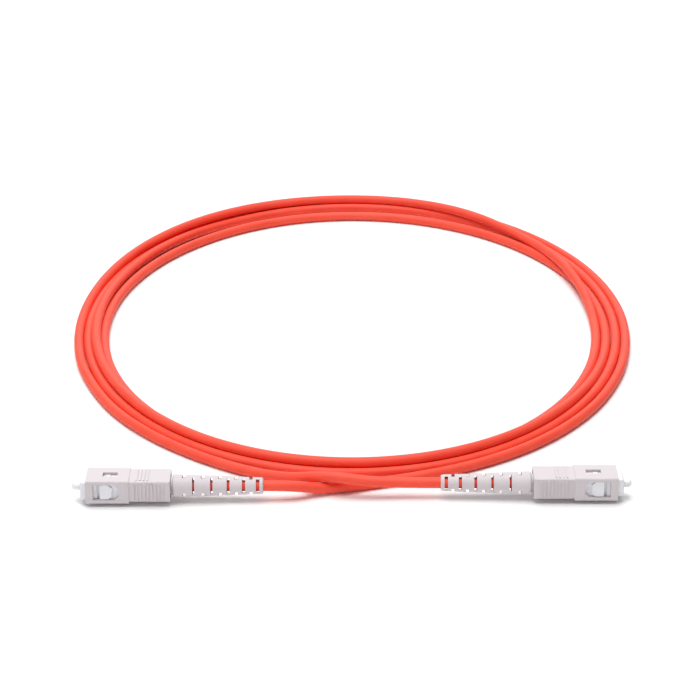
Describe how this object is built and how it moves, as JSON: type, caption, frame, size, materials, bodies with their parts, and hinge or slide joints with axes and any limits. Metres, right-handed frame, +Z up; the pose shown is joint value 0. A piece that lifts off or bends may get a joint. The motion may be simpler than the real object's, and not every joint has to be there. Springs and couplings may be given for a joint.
{
  "type": "fiber optic patch cord",
  "caption": "Coiled simplex optical patch cord with an orange round jacket and a square push-pull plug with a slotted tapered boot on each end.",
  "frame": {"origin": "on the surface the cord lies on, midway between the two plugs, which lie back to back in front of the coil", "axes": "+X along the plugs' axes towards the right plug's nose, +Y towards the coil, +Z up"},
  "size_m": [0.1884, 0.239, 0.0084],
  "materials": {
    "housing_plastic": "satin",
    "frame_plastic": "satin",
    "ferrule_ceramic": "polished",
    "fibre_glass": "clear",
    "flange_metal": "nickel plated",
    "spring_steel": "drawn wire",
    "stop_ring_metal": "nickel plated",
    "guide_tube_plastic": "translucent",
    "crimp_metal": "satin",
    "aramid": "matte fibre",
    "buffer_plastic": "satin",
    "cord_jacket": "satin",
    "boot_rubber": "matte"
  },
  "bodies": {
    "cord": {"plug_frame_a": "frame_plastic", "spring_a": "spring_steel", "stop_ring_a": "stop_ring_metal", "guide_tube_a": "guide_tube_plastic", "crimp_sleeve_a": "crimp_metal", "aramid_yarn_a": "aramid", "buffered_fibre_a": "buffer_plastic", "jacket_end_a": "cord_jacket", "boot_a": "boot_rubber", "plug_frame_b": "frame_plastic", "spring_b": "spring_steel", "stop_ring_b": "stop_ring_metal", "guide_tube_b": "guide_tube_plastic", "crimp_sleeve_b": "crimp_metal", "aramid_yarn_b": "aramid", "buffered_fibre_b": "buffer_plastic", "jacket_end_b": "cord_jacket", "boot_b": "boot_rubber", "cable_coil": "cord_jacket", "cable_tail_a": "cord_jacket", "cable_tail_b": "cord_jacket"},
    "grip_a": {"outer_housing_a": "housing_plastic"},
    "grip_b": {"outer_housing_b": "housing_plastic"},
    "ferrule_carrier_a": {"ferrule_a": "ferrule_ceramic", "bare_fibre_a": "fibre_glass", "ferrule_flange_a": "flange_metal"},
    "ferrule_carrier_b": {"ferrule_b": "ferrule_ceramic", "bare_fibre_b": "fibre_glass", "ferrule_flange_b": "flange_metal"}
  },
  "joints": [
    {"name": "grip_slide_a", "type": "slide", "parent": "cord", "child": "grip_a", "axis": [-1, 0, 0], "range_m": [-0.0003, 0.0017]},
    {"name": "ferrule_slide_a", "type": "slide", "parent": "cord", "child": "ferrule_carrier_a", "axis": [1, 0, 0], "range_m": [0, 0.0015], "stiffness_N_per_m": 2000, "springref_m": -0.0005, "deforming": ["spring_a"]},
    {"name": "grip_slide_b", "type": "slide", "parent": "cord", "child": "grip_b", "axis": [1, 0, 0], "range_m": [-0.0003, 0.0017]},
    {"name": "ferrule_slide_b", "type": "slide", "parent": "cord", "child": "ferrule_carrier_b", "axis": [-1, 0, 0], "range_m": [0, 0.0015], "stiffness_N_per_m": 2000, "springref_m": -0.0005, "deforming": ["spring_b"]}
  ]
}
